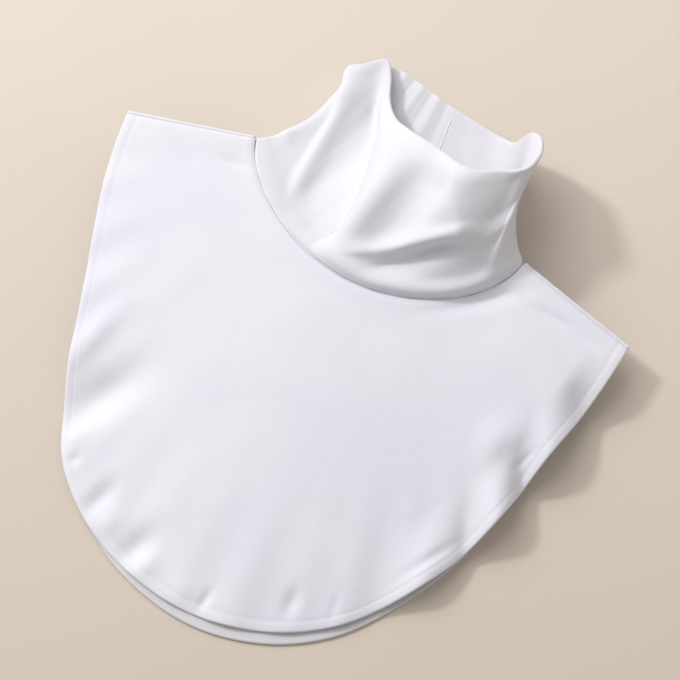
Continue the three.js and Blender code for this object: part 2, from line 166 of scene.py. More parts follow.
def neckline(turn):
    """Closed neckline: half an ellipse dropped at the front, a flatter half at the back.
    Turn 0 is the front, 0.25 the +x shoulder."""
    angle = 2 * np.pi * turn
    front = np.maximum(0, np.cos(angle))
    back = np.maximum(0, -np.cos(angle))
    x = HALF_NECK * np.sin(angle) * (1 - NECK_TAPER * front) + NECK_SHIFT * front
    y = NECK_RISE - FRONT_DROP * front - BACK_DROP * back
    along = 0.5 - np.arcsin(np.clip(np.sin(angle), -1, 1)) / np.pi
    front_z = SHOULDER_LIFT + (NECK_LIFT - SHOULDER_LIFT) * front
    back_z = NECK_ROLL + (SHOULDER_LIFT - NECK_ROLL) * back_rise(along)
    return np.stack([x, y, np.where(back > 0, back_z, front_z)], -1)


def spokes(path, turn, along):
    """Straight lines from the neckline out to the edge path at each share of the path: their inner
    ends, their vectors, their lengths and the sines of the angles at which they meet the edge."""
    neck = neckline(turn(along))[..., :2]
    run = on_path(path, along)[..., :2] - neck
    length = np.linalg.norm(run, axis=-1)
    ahead = on_path(path, np.minimum(along + PATH_STEP, 1)) - on_path(path, np.maximum(along - PATH_STEP, 0))
    cross = np.abs(run[..., 0] * ahead[..., 1] - run[..., 1] * ahead[..., 0])
    sine = np.maximum(LEAST_SINE, cross / length / np.linalg.norm(ahead[..., :2], axis=-1))
    return neck, run, length, sine


def bib(path, turn, height, columns, rows):
    """A bib's cloth on a grid: columns run from the neckline straight out to the edge path. From
    the neck to the hem the rows lie on the height function; at the edge they go round a small
    half circle, and then back in under it for the width of the hem."""
    along = np.linspace(0, 1, columns)[:, None]
    neck, run, length, sine = spokes(path, turn, along)
    fold = FOLD_RADIUS + CLOTH / 2
    curl = np.linspace(0, np.pi, CURL_ROWS)
    into_neck = NECK_TUCK / length
    hem_start = 1 - (HEM + BEFORE_HEM) / sine / length
    flat = into_neck + (hem_start - into_neck) * np.linspace(0, 1, rows) ** ROW_SPREAD
    inward = np.r_[np.linspace(HEM, fold + BEFORE_CURL, HEM_ROWS), fold - FOLD_RADIUS * np.sin(curl),
                   np.linspace(fold + AFTER_CURL, HEM, UNDER_ROWS)]
    drop = np.r_[np.zeros(rows + HEM_ROWS), FOLD_RADIUS * (1 - np.cos(curl)),
                 np.full(UNDER_ROWS, 2 * FOLD_RADIUS)]
    across = np.hstack([flat, 1 - inward / sine / length])
    place = neck + across[..., None] * run
    z = height(along, across, place) - drop
    return np.concatenate([place, z[..., None]], -1)


def grid_faces(columns, rows, closed=False, tube=False):
    """Faces between neighbouring points of a grid, which are numbered column by column. A closed
    grid joins its last column to its first, and a tube its last row to its first."""
    index = np.arange(columns * rows).reshape(columns, rows)
    if closed:
        index = np.vstack([index, index[:1]])
    if tube:
        index = np.hstack([index, index[:, :1]])
    corners = [index[:-1, :-1], index[1:, :-1], index[1:, 1:], index[:-1, 1:]]
    return np.stack(corners, -1).reshape(-1, 4)


def new_piece(name, points, faces):
    """Smooth mesh of garment points, moved to the frame and turned to metres."""
    mesh = bpy.data.meshes.new(name)
    mesh.from_pydata((points.reshape(-1, 3) + [0, GARMENT_Y, 0]) * MM, [], faces)
    mesh.polygons.foreach_set("use_smooth", np.ones(len(faces), bool))
    mesh.update()
    piece = bpy.data.objects.new(name, mesh)
    bpy.context.scene.collection.objects.link(piece)
    return piece


def cloth_piece(name, grid, closed=False, flip=False):
    """Mesh of a grid of garment points, given the cloth's thickness with Solidify. Flip turns the
    faces round."""
    faces = grid_faces(*grid.shape[:2], closed=closed)
    piece = new_piece(name, grid, (faces[:, ::-1] if flip else faces).tolist())
    wall = piece.modifiers.new("cloth thickness", "SOLIDIFY")
    wall.thickness = CLOTH * MM
    wall.offset = 0
    return piece


def srgb(hex_colour):
    """An sRGB hex colour as linear red, green, blue and alpha."""
    c = np.array([int(hex_colour[i:i + 2], 16) / 255 for i in (1, 3, 5)])
    return (*np.where(c <= 0.04045, c / 12.92, ((c + 0.055) / 1.055) ** 2.4), 1.0)


def new_material(name):
    """An empty material that takes nodes."""
    material = bpy.data.materials.new(name)
    material.use_nodes = True
    material.node_tree.nodes.clear()
    return material


def add_node(material, kind, inputs=None, **settings):
    """Adds a node, sets its properties, and sets or links its inputs by name or number. A node given
    as an input is linked from its first output."""
    node = material.node_tree.nodes.new(kind)
    for key, value in settings.items():
        setattr(node, key, value)
    for key, value in (inputs or {}).items():
        source = value.outputs[0] if isinstance(value, bpy.types.Node) else value
        if isinstance(source, bpy.types.NodeSocket):
            material.node_tree.links.new(source, node.inputs[key])
        else:
            node.inputs[key].default_value = source
    return node


# Plain jersey: columns of knitted loops (wales) about 0.7 mm apart and rows of them (courses)
# about 0.5 mm apart. Both are drawn twice as coarse, so that they still show in the render.
# Tufts of fibre, soft creases left by washing and thinner patches of the cloth lie over them.
WALE = 0.0014
COURSE = 0.0010
TUFT = 0.00111
CREASE = 0.0182
PATCH = 0.0714


def jersey(name, face, shade, uv_map=None):
    """White cotton jersey, knitted and washed: matt, slightly fuzzy, with V-shaped loops and
    faint patches where the cloth is thinner. The knit is a ridge along each wale plus a wave along
    it, and the wave starts later towards the wale's sides, which makes its Vs."""
    material = new_material(name)
    here = add_node(material, "ShaderNodeTexCoord").outputs["Object"]
    place = add_node(material, "ShaderNodeUVMap", uv_map=uv_map) if uv_map else here
    split = add_node(material, "ShaderNodeSeparateXYZ", {0: place})
    wales = add_node(material, "ShaderNodeMath", {0: split, 1: WALE}, operation="DIVIDE")
    in_wale = add_node(material, "ShaderNodeMath", {0: wales}, operation="FRACT")
    off_middle = add_node(material, "ShaderNodeMath", {0: in_wale, 1: 0.5}, operation="SUBTRACT")
    side = add_node(material, "ShaderNodeMath", {0: off_middle}, operation="ABSOLUTE")
    courses = add_node(material, "ShaderNodeMath", {0: split.outputs[1], 1: COURSE}, operation="DIVIDE")
    slanted = add_node(material, "ShaderNodeMath", {0: courses, 1: side}, operation="ADD")
    ridge_angle = add_node(material, "ShaderNodeMath", {0: side, 1: 2 * np.pi}, operation="MULTIPLY")
    loop_angle = add_node(material, "ShaderNodeMath", {0: slanted, 1: 2 * np.pi}, operation="MULTIPLY")
    ridge = add_node(material, "ShaderNodeMath", {0: ridge_angle}, operation="COSINE")
    loop = add_node(material, "ShaderNodeMath", {0: loop_angle}, operation="SINE")
    knit = add_node(material, "ShaderNodeMath", {0: loop, 1: 0.35, 2: ridge}, operation="MULTIPLY_ADD")
    tufts = add_node(material, "ShaderNodeTexNoise", {"Vector": here, "Scale": 1 / TUFT, "Detail": 2.0})
    creases = add_node(material, "ShaderNodeTexNoise", {"Vector": here, "Scale": 1 / CREASE, "Detail": 3.0})
    patches = add_node(material, "ShaderNodeTexNoise",
                       {"Vector": here, "Scale": 1 / PATCH, "Detail": 2.0, "Roughness": 0.4})
    thin = add_node(material, "ShaderNodeMapRange", {"Value": patches, "From Min": 0.38, "From Max": 0.62})
    colour = add_node(material, "ShaderNodeMix", {"Factor": thin, 6: srgb(face), 7: srgb(shade)},
                      data_type="RGBA").outputs[2]
    creased = add_node(material, "ShaderNodeBump", {"Height": creases, "Strength": 0.25, "Distance": 0.0012})
    fuzzy = add_node(material, "ShaderNodeBump",
                     {"Height": tufts, "Strength": 0.2, "Distance": 0.0003, "Normal": creased})
    knitted = add_node(material, "ShaderNodeBump",
                       {"Height": knit, "Strength": 0.3, "Distance": 0.0001, "Normal": fuzzy})
    cloth = add_node(material, "ShaderNodeBsdfPrincipled", {
        "Base Color": colour, "Roughness": 0.9, "IOR": 1.45, "Specular IOR Level": 0.25,
        "Sheen Weight": 0.12, "Sheen Roughness": 0.5, "Normal": knitted})
    add_node(material, "ShaderNodeOutputMaterial", {"Surface": cloth})
    return material


def back_turn(along):
    """Turn of the neckline behind each share of the back's edge, from the -x shoulder to the +x one."""
    return 0.75 - 0.5 * along


def back_height(along, across, place):
    """The back's cloth: flat on the table, on its turned hem towards the edge, rising near each end
    to the shoulder seam's height."""
    seam = SHOULDER_LIFT + (TIP_LIFT - SHOULDER_LIFT) * across - SEAM_SPREAD
    rest = CLOTH / 2 + 2 * FOLD_RADIUS * smooth((across - HEM_REST_START) / HEM_REST_REACH)
    return rest + (seam - rest) * back_rise(along, across)


back_edge = outline_path(HALF_SPAN - BACK_NARROWER, LENGTH + BACK_LONGER, BACK_SHIFT)
back_grid = bib(back_edge, back_turn, back_height, BACK_COLUMNS, BACK_ROWS)
back = cloth_piece("back_bib", back_grid)
back.data.materials.append(jersey("white cotton jersey, back bib, darkened as painted shade", BACK_FACE_PAINTED_SHADE, BACK_PATCH_PAINTED_SHADE))
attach(back, "root")
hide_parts("back_panel", "back_hem")


# Hem stitches of the back
# One row of white sewing thread, just inside the hem's inner edge, that holds the turned hem down.
# Each stitch is a short rounded bar sunk a little into the cloth.
STITCH = 2.6
STITCH_PITCH = 3.5
STITCH_ROW = 7.6
STITCH_LIFT = 0.02
THREAD = 0.42
THREAD_SIDES = 6
THREAD_TAPER = np.array([0.15, 0.85, 1, 0.85, 0.15])
THREAD_TWIST = 0.0004
THREAD_COLOUR = "#E6E6EC"
LINE_POINTS = 1500
LINE_MARGIN = 0.012


def sewing_thread(name):
    """Spun polyester sewing thread: a hard twisted thread, a little glossier than the cloth."""
    material = new_material(name)
    here = add_node(material, "ShaderNodeTexCoord").outputs["Object"]
    twist = add_node(material, "ShaderNodeTexNoise", {"Vector": here, "Scale": 1 / THREAD_TWIST})
    bump = add_node(material, "ShaderNodeBump", {"Height": twist, "Strength": 0.4, "Distance": 0.0001})
    surface = add_node(material, "ShaderNodeBsdfPrincipled", {
        "Base Color": srgb(THREAD_COLOUR), "Roughness": 0.6, "IOR": 1.5, "Normal": bump})
    add_node(material, "ShaderNodeOutputMaterial", {"Surface": surface})
    return material


def unit(vectors):
    """The vectors at length 1."""
    return vectors / np.linalg.norm(vectors, axis=-1, keepdims=True)


def stitches(name, line):
    """Row of stitches along a line of points: each is a bar of rings round a piece of the line, and
    the rings shrink towards both ends."""
    rings = len(THREAD_TAPER)
    run = np.r_[0, np.cumsum(np.linalg.norm(np.diff(line, axis=0), axis=1))]
    count = int((run[-1] - 2 * STITCH_PITCH) / STITCH_PITCH)
    middle = STITCH_PITCH * (1 + np.arange(count))[:, None]
    centre = middle + STITCH / 2 * np.linspace(-1, 1, rings)
    spots = np.stack([np.interp(centre, run, line[:, k]) for k in range(3)], -1)
    ahead = unit(np.gradient(spots, axis=1))
    out = unit(np.stack([ahead[..., 1], -ahead[..., 0], np.zeros(ahead.shape[:2])], -1))
    up = np.cross(out, ahead)
    angle = np.linspace(0, 2 * np.pi, THREAD_SIDES, endpoint=False)[:, None]
    spread = np.cos(angle) * out[:, :, None] + np.sin(angle) * up[:, :, None]
    points = spots[:, :, None] + THREAD / 2 * THREAD_TAPER[:, None, None] * spread
    index = np.arange(count * rings * THREAD_SIDES).reshape(count, rings, THREAD_SIDES)
    walls = (index[:, :1, :1] + grid_faces(rings, THREAD_SIDES, tube=True)).reshape(-1, 4)
    ends = [*index[:, 0].tolist(), *index[:, -1, ::-1].tolist()]
    return new_piece(name, points, [*walls.tolist(), *ends])


def hem_line(path, turn, height):
    """Line of the stitches on a bib's upper face, the stitches' distance in from its edge."""
    along = np.linspace(LINE_MARGIN, 1 - LINE_MARGIN, LINE_POINTS)[:, None]
    neck, run, length, sine = spokes(path, turn, along)
    across = 1 - STITCH_ROW / sine / length
    place = neck + across[..., None] * run
    z = height(along, across, place) + CLOTH / 2 + STITCH_LIFT
    return np.concatenate([place, z[..., None]], -1)[:, 0]


thread = sewing_thread("white sewing thread")
back_stitches = stitches("back_hem_stitches", hem_line(back_edge, back_turn, back_height))
back_stitches.data.materials.append(thread)
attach(back_stitches, "root")


# Front bib
# The front half, cut like the back but 7 mm shorter. It is domed over the back, its edge is
# lifted off the table at the sides, and the hem pulls the cloth into small soft dents.
HEM_STACK = 4.5
FRONT_DOME = 5.5
FRONT_SEAM_REACH = 0.06
FULLNESS = 0.9
FULLNESS_START = 0.5
WAVE_START = 0.74
WAVE_FAN = 0.6
FRONT_COLUMNS = 400
FRONT_ROWS = 84
FRONT_FACE = "#E2E3EA"
FRONT_SHADE = "#DEDEE9"

# How the seams and stitches pull the cloth: height in millimetres (a pull down is negative), and
# the middle and half width of the strip, in millimetres from the seam or from the hem's edge
NECK_PUFF = (0.3, 5.0, 3.0)
NECK_PULL = (-0.9, 0.0, 1.7)
SHOULDER_PULL = (-0.6, 0.0, 1.6)
STITCH_PULL = (-0.2, STITCH_ROW, 1.3)
HEM_PUFF = (0.14, 4.0, 2.2)
PULL_REACH = 0.125

# Dents and puffs in the cloth: place, direction of the long axis in degrees from +x,
# half length and half width in millimetres, and depth (a puff is negative)
FORMS = np.array([
    # x, y, turn, long, wide, deep
    (-121.0, -187.0, 52, 36, 15, 7.8),
    (-140.0, -152.0, 75, 26, 8, -2.4),
    (-113.0, -228.0, 60, 5, 3.5, 1.5),
    (-119.0, -214.0, 70, 9, 6, -1.5),
    (-86.0, -245.0, 70, 15, 7, 4.2),
    (-72.0, -256.0, 70, 10, 7, -1.8),
    (-49.0, -263.0, 68, 16, 9, 5.4),
    (-38.0, -270.0, 75, 8, 7, -1.5),
    (8.0, -273.0, 80, 7, 3.2, 2.25),
    (-8.0, -274.0, 90, 8, 8, -1.2),
    (60.5, -250.0, 95, 9, 5, 2.7),
    (87.0, -240.0, 100, 8, 3, 0.9),
    (130.0, -185.0, 58, 20, 3.2, 1.8),
    (147.0, -100.0, 80, 14, 7, 0.9),
    (158.5, -98.0, 65, 9, 2.2, 1.05),
    (138.0, -92.0, 70, 18, 12, -2.4),
    (86.0, -14.0, 38, 26, 6, 3.9),
    (137.0, -3.0, -4, 22, 4, 2.1),
    (162.0, -8.0, -4, 12, 3, 1.35),
    (-106.0, 0.0, 5, 10, 3.5, 1.2),
    (-140.0, -8.0, -20, 22, 9, 0.75),
])

# Waves of the hem at the wearer's left: place along the edge, height in millimetres (a dip towards
# the table is negative), and half length along the edge
HEM_WAVES = np.array([
    # along, up, wide
    (0.933, -10.125, 0.023),
    (0.883, 3.75, 0.014),
    (0.846, -10.125, 0.015),
    (0.807, 6.375, 0.02),
    (0.767, -3.375, 0.012),
    (0.722, 8.25, 0.022),
])

# Fine waves of the hem's fullness all along its edge: their number, share of height, and start
FINE_WAVES = np.array([
    # count, up, start
    (19.0, 0.6, 0.0),
    (11.3, 0.4, 1.0),
])

front_edge = outline_path(HALF_SPAN, LENGTH, 0)
front_edge_length = np.linalg.norm(np.diff(front_edge[:, :2], axis=0), axis=1).sum()


def front_turn(along):
    """Turn of the neckline behind each share of the front's edge, from the -x shoulder to the +x one."""
    return -0.25 + 0.5 * along


def strip(distance, pull):
    """Height of a pull or puff at a distance from its seam: a bump round its middle."""
    up, middle, wide = pull
    return up * bell((distance - middle) / wide)


def uneven(share, waves):
    """1 plus sine waves along a share from 0 to 1, each given by its number, height and start."""
    return 1 + sum(up * np.sin(2 * np.pi * count * share + start) for count, up, start in waves)


def front_height(along, across, place):
    """The front's cloth: from the neckline's height to the lifted edge, plus a dome, waves along
    the edge that grow towards it, the dents, and the pulls of the seams and stitches."""
    neck = neckline(front_turn(along))
    edge = on_path(front_edge, along)
    lifted = HEM_STACK + edge[..., 2] * (TIP_LIFT - HEM_STACK)
    to_shoulder = np.minimum(along, 1 - along)
    near_shoulder = 1 - smooth(to_shoulder / FRONT_SEAM_REACH)
    dome = FRONT_DOME * 4 * across * (1 - across) * np.sqrt(np.maximum(0, np.sin(np.pi * along)))
    fullness = FULLNESS * (1 - near_shoulder) * smooth((across - FULLNESS_START) / (1 - FULLNESS_START))
    wave = fullness * uneven(along, FINE_WAVES)
    towards_edge = smooth((across - WAVE_START) / (1 - WAVE_START))
    for centre, up, wide in HEM_WAVES:
        fan = wide * (1 + WAVE_FAN * (1 - across))
        wave = wave + up * bell((along - centre) / fan) * towards_edge
    z = neck[..., 2] + (lifted - neck[..., 2]) * across + dome + wave + SEAM_SPREAD * near_shoulder
    for x, y, turn, long, wide, deep in FORMS:
        c, s = np.cos(np.radians(turn)), np.sin(np.radians(turn))
        dx, dy = place[..., 0] - x, place[..., 1] - y
        z = z - deep * bell((dx * c + dy * s) / long) * bell((dy * c - dx * s) / wide)
    length = np.linalg.norm(edge[..., :2] - neck[..., :2], axis=-1)
    from_neck, from_edge = across * length, (1 - across) * length
    shoulder = strip(to_shoulder * front_edge_length, SHOULDER_PULL) * smooth(across / PULL_REACH)
    hem = strip(from_edge, STITCH_PULL) + strip(from_edge, HEM_PUFF)
    return z + strip(from_neck, NECK_PUFF) + strip(from_neck, NECK_PULL) + shoulder + hem


front_grid = bib(front_edge, front_turn, front_height, FRONT_COLUMNS, FRONT_ROWS)
front = cloth_piece("front_bib", front_grid, flip=True)
front.data.materials.append(jersey("white cotton jersey, front bib", FRONT_FACE, FRONT_SHADE))
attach(front, "root")
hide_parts("front_panel", "front_hem")


# Hem stitches of the front
# The same row of thread as on the back. It holds the front's turned hem down, and lies sunk in the
# line that it pulls into the cloth.
front_stitches = stitches("front_hem_stitches", hem_line(front_edge, front_turn, front_height))
front_stitches.data.materials.append(thread)
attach(front_stitches, "root")


# Shoulder seams
# The closed seam along each shoulder, where the edges of front and back are overlocked together.
# It stands out as a small uneven roll along the fold.
SEAM_RADIUS = 1.5
SEAM_HALF_HEIGHT = SEAM_SPREAD + 0.5
SEAM_OUT = 0.7 * SEAM_RADIUS
SEAM_STEPS = 80
SEAM_START = 0.01
SEAM_ENDS = (0.005, 1.004)
SEAM_TAPER = 0.012
SEAM_WAVES = ((9.71, 0.06, 0), (5.89, 0.05, 1))
ROLL_SIDES = 16
SEAM_FACE = "#E2E2E8"
SEAM_SHADE = "#DCDCE5"
seam_jersey = jersey("white cotton jersey, overlocked seam", SEAM_FACE, SEAM_SHADE)


def roll(name, centre, out, up, radius_out, radius_up, closed=False):
    """A tube round a line of points: at each point an ellipse with the given half width along out
    and half height along up. An open line gets a face at each end."""
    angle = np.linspace(0, 2 * np.pi, ROLL_SIDES, endpoint=False)[:, None]
    width = radius_out[:, None, None] * np.cos(angle) * out[:, None]
    rings = centre[:, None] + width + radius_up[:, None, None] * np.sin(angle) * up[:, None]
    faces = grid_faces(len(centre), ROLL_SIDES, closed=closed, tube=True).tolist()
    if not closed:
        index = np.arange(len(centre) * ROLL_SIDES).reshape(-1, ROLL_SIDES)
        faces += [index[0].tolist(), index[-1, ::-1].tolist()]
    return new_piece(name, rings, faces)


upright = np.array([[0.0, 0.0, 1.0]])
for side, name in ((1, "shoulder_seam_left"), (-1, "shoulder_seam_right")):
    neck_end = neckline(np.array(0.25 * side)) * [1, 1, 0]
    run = on_path(front_edge, np.array((1 + side) / 2)) * [1, 1, 0] - neck_end
    share = np.linspace(SEAM_START, 1, SEAM_STEPS)[::-side]
    outward = side * np.array([[-run[1], run[0], 0]]) / np.linalg.norm(run)
    height = SHOULDER_LIFT + (TIP_LIFT - SHOULDER_LIFT) * share
    centre = neck_end + share[:, None] * run + height[:, None] * upright + SEAM_OUT * outward
    to_end = np.minimum(share - SEAM_ENDS[0], SEAM_ENDS[1] - share)
    fade = np.sqrt(np.clip(to_end / SEAM_TAPER, 0, 1))
    half_width = SEAM_RADIUS * fade * uneven(share, SEAM_WAVES)
    seam = roll(name + "_roll", centre, outward, upright, half_width, SEAM_HALF_HEIGHT * fade)
    seam.data.materials.append(seam_jersey)
    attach(seam, "root")
    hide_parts(name)


# Neck seam
# The seam allowance of the collar and the two bibs, overlocked and rolled to the inside. It runs
# right round the neck, and holds the collar's foot to the bibs.
NECK_SEAM_RADIUS = 1.5
NECK_SEAM_IN = 0.9
NECK_SEAM_DOWN = 1.2
NECK_SEAM_OFF_TABLE = 0.1
NECK_SEAM_STEPS = 240
NECK_SEAM_WAVES = ((23, 0.07, 0),)
TURN_STEP = 0.002


def neck_direction(turn):
    """Direction of the neckline: from just before each turn to just after it."""
    return unit(neckline(turn + TURN_STEP) - neckline(turn - TURN_STEP))


turns = np.linspace(0, 1, NECK_SEAM_STEPS, endpoint=False)
neck_ahead = neck_direction(turns)
neck_out = unit(np.stack([neck_ahead[:, 1], -neck_ahead[:, 0], np.zeros(NECK_SEAM_STEPS)], 1))
neck_up = unit(np.cross(neck_out, neck_ahead))
neck_middle = neckline(turns) - NECK_SEAM_IN * neck_out - NECK_SEAM_DOWN * neck_up
neck_middle[:, 2] = np.maximum(neck_middle[:, 2], NECK_SEAM_RADIUS + NECK_SEAM_OFF_TABLE)
neck_radius = NECK_SEAM_RADIUS * uneven(turns, NECK_SEAM_WAVES)
neck_roll = roll("neck_seam_roll", neck_middle, neck_out, neck_up, neck_radius, neck_radius, closed=True)
neck_roll.data.materials.append(seam_jersey)
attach(neck_roll, "root")
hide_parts("neck_seam")


# Collar
# A tube of jersey sewn round the neckline and folded double at its rim, so the wall is two layers
# and the rim is a soft round fold. The back lies low and the front is raised, with long folds on
# the wearer's right, a hollow and a pleat in front, and fine gathers inside the back.
HALF_WIDTH = 80.0
REACH = 100.0
LIFT = 76.0
FOLD = 10.0
HALF_GAP = 0.65
RIM_GAP = 1.1
RIM_REACH = 0.1
HIGH_STEP = 0.01
KNIT_ROUND = 0.42
COLLAR_FACE = "#E0E0E6"
COLLAR_SHADE = "#DCDCE4"

# Wall at stations round the neck: shares of half width, reach and lift, at half height and rim
STATIONS = np.array([
    # turn, mid_x, mid_y, mid_z, rim_x, rim_y, rim_z
    (0.0, 0.238, 0.03, 0.717, 0.463, 0.524, 0.908),
    (0.03, 0.4, 0.04, 0.737, 0.58, 0.518, 0.987),
    (0.06, 0.588, 0.085, 0.737, 0.744, 0.579, 1.0),
    (0.12, 0.869, 0.2, 0.724, 0.933, 0.66, 1.0),
    (0.155, 0.981, 0.31, 0.737, 0.995, 0.752, 0.947),
    (0.18, 1.012, 0.39, 0.77, 1.006, 0.884, 0.816),
    (0.21, 1.019, 0.45, 0.684, 0.958, 0.981, 0.737),
    (0.24, 1.019, 0.49, 0.566, 0.883, 1.013, 0.658),
    (0.265, 1.006, 0.51, 0.447, 0.843, 1.025, 0.526),
    (0.29, 0.975, 0.525, 0.303, 0.804, 1.022, 0.368),
    (0.315, 0.925, 0.535, 0.164, 0.745, 1.002, 0.211),
    (0.34, 0.838, 0.54, 0.079, 0.627, 1.022, 0.118),
    (0.4, 0.55, 0.55, 0.037, 0.357, 1.061, 0.066),
    (0.47, 0.175, 0.55, 0.03, 0.119, 1.087, 0.053),
    (0.54, -0.231, 0.57, 0.03, -0.151, 1.13, 0.053),
    (0.61, -0.594, 0.58, 0.034, -0.409, 1.17, 0.053),
    (0.66, -0.762, 0.58, 0.053, -0.584, 1.168, 0.053),
    (0.7, -0.85, 0.57, 0.099, -0.714, 1.09, 0.059),
    (0.725, -0.888, 0.565, 0.138, -0.806, 1.015, 0.079),
    (0.745, -0.9, 0.56, 0.184, -0.837, 1.032, 0.118),
    (0.77, -0.869, 0.54, 0.224, -0.748, 1.079, 0.158),
    (0.8, -0.788, 0.51, 0.243, -0.582, 1.175, 0.164),
    (0.82, -0.725, 0.465, 0.25, -0.499, 1.086, 0.184),
    (0.845, -0.638, 0.37, 0.263, -0.398, 0.899, 0.23),
    (0.87, -0.538, 0.28, 0.303, -0.272, 0.763, 0.395),
    (0.9, -0.375, 0.2, 0.474, -0.094, 0.673, 0.618),
    (0.935, -0.162, 0.13, 0.684, 0.099, 0.625, 0.724),
    (0.97, 0.05, 0.07, 0.704, 0.291, 0.577, 0.803),
])

# Long folds: turn at the seam and at the rim, how late they swing over, the heights between which
# they show, depth as a share of FOLD (a hollow is negative), width in turns on either side, and how
# round they are (2 is a round fold, nearer 1 a creased one)
LONG_FOLDS = np.array([
    # seam, rim, swing, low, high, deep, before, after, round
    (-0.255, -0.255, 1.0, 0.08, 0.9, 0.35, 0.03, 0.03, 2.0),
    (-0.118, -0.262, 1.0, 0.06, 1.1, 0.36, 0.014, 0.026, 2.0),
    (-0.07, -0.185, 2.1, -0.02, 1.0, -1.25, 0.04, 0.017, 1.3),
    (-0.042, -0.127, 3.0, 0.12, 1.0, 0.32, 0.024, 0.026, 2.0),
    (-0.01, -0.02, 2.1, 0.12, 0.98, -0.68, 0.03, 0.04, 2.0),
    (-0.063, 0.15, 1.0, 0.08, 0.66, 0.66, 0.021, 0.02, 1.4),
    (-0.006, 0.17, 1.0, 0.04, 0.58, -0.6, 0.02, 0.03, 2.0),
    (0.155, 0.005, 1.0, 0.36, 1.1, 0.75, 0.034, 0.046, 1.3),
    (0.2, 0.1, 1.0, 0.5, 1.1, -0.3, 0.045, 0.035, 2.0),
    (0.487, 0.487, 1.0, 0.4, 1.25, 0.06, 0.008, 0.008, 2.0),
    (0.512, 0.51, 1.0, 0.4, 1.25, -0.08, 0.008, 0.008, 2.0),
    (0.535, 0.53, 1.0, 0.4, 1.25, 0.06, 0.007, 0.007, 2.0),
    (0.565, 0.555, 1.0, 0.4, 1.25, -0.08, 0.008, 0.008, 2.0),
    (0.59, 0.58, 1.0, 0.4, 1.25, 0.07, 0.007, 0.007, 2.0),
    (0.615, 0.605, 1.0, 0.4, 1.25, -0.08, 0.009, 0.009, 2.0),
])
FOLD_ENDS = 0.18

# The collar's foot, in millimetres: how far it starts off the neckline, rolls out over the seam,
# is tucked in below the roll, and hollows above it. Then, as shares of the wall's height, where
# the roll starts and the middle and half height of each. Away from the front the roll grows flat.
FOOT = 0.6
FOOT_ROLL = 3.0
FOOT_TUCK = 0.6
FOOT_HOLLOW = 1.5
ROLL_START = 0.05
ROLL_AT = 0.08
ROLL_SPREAD = 0.055
TUCK_SPREAD = 0.02
HOLLOW_AT = 0.2
HOLLOW_SPREAD = 0.11
FLAT_ROLL = 0.2


def station_curve(turn, columns):
    """Smooth closed curve through the stations' chosen columns, in millimetres."""
    knots = np.r_[STATIONS[-4:, 0] - 1, STATIONS[:, 0], STATIONS[:4, 0] + 1]
    shares = STATIONS[:, columns] * [HALF_WIDTH, REACH, LIFT]
    return curve_through(knots, np.vstack([shares[-4:], shares, shares[:4]]), turn % 1)


def collar_base(turn, high):
    """The collar's smooth wall: at each turn an arc through the foot, the middle and the rim. The
    foot is a little off the neckline, square to it."""
    seam = neckline(turn)
    middle = station_curve(turn, [1, 2, 3])
    ahead = neck_direction(turn)
    rise = middle - seam
    foot = seam + FOOT * unit(rise - ahead * np.sum(rise * ahead, -1, keepdims=True))
    h = high[..., None]
    return (foot * (1 - h) * (1 - 2 * h) + middle * 4 * h * (1 - h)
            + station_curve(turn, [4, 5, 6]) * h * (2 * h - 1))


def facing(point, turn, high):
    """Outward direction of a wall: across its own directions round the neck and upwards."""
    round_neck = point(turn + TURN_STEP, high) - point(turn - TURN_STEP, high)
    upwards = point(turn, high + HIGH_STEP) - point(turn, high - HIGH_STEP)
    return unit(np.cross(round_neck, upwards))


def near_turn(turn, middle, gain, cut):
    """1 round a turn of the neck and 0 away from it: a cosine, made wider or narrower by its gain
    and its cut, and smoothed."""
    return smooth(gain * np.cos(2 * np.pi * (turn - middle)) - cut)


def fold_depth(turn, high):
    """How far the cloth stands out from the smooth wall: the long folds and gathers, each a bump
    across its own line, and a foot that rolls over the neck seam in front with a hollow above it."""
    depth = np.zeros(np.broadcast(turn, high).shape)
    for seam, rim, swing, low, top, deep, before, after, roundness in LONG_FOLDS:
        centre = seam + (rim - seam) * np.maximum(0, high) ** swing
        away = turn - centre - np.round(turn - centre)
        shown = smooth((high - low) / FOLD_ENDS) * smooth((top - high) / FOLD_ENDS)
        share = np.abs(away) / np.where(away < 0, before, after)
        depth = depth + deep * shown * np.exp(-share**roundness)
    foot = FOOT_ROLL * smooth(high / ROLL_START) * bell((high - ROLL_AT) / ROLL_SPREAD)
    foot = foot - FOOT_TUCK * bell(high / TUCK_SPREAD)
    foot = foot * (FLAT_ROLL + (1 - FLAT_ROLL) * near_turn(turn, 0.05, 1.8, 0.7))
    foot = foot - FOOT_HOLLOW * bell((high - HOLLOW_AT) / HOLLOW_SPREAD) * near_turn(turn, 0.02, 1.6, 0.6)
    return FOLD * depth + foot * near_turn(turn, 0, 1, -0.8)


def collar_wall(turn, high):
    """The middle of the folded wall."""
    return collar_base(turn, high) + facing(collar_base, turn, high) * fold_depth(turn, high)[..., None]


def wall_gap(high):
    """Half the distance between the middles of the two layers, wider at the rim's soft fold."""
    return HALF_GAP + (RIM_GAP - HALF_GAP) * smooth((high - 1) / RIM_REACH + 1)


def layer(turn, high, side):
    """One layer of the wall: its middle moved half the gap outwards (side 1) or inwards (side -1)."""
    return collar_wall(turn, high) + side * facing(collar_wall, turn, high) * wall_gap(high)[..., None]


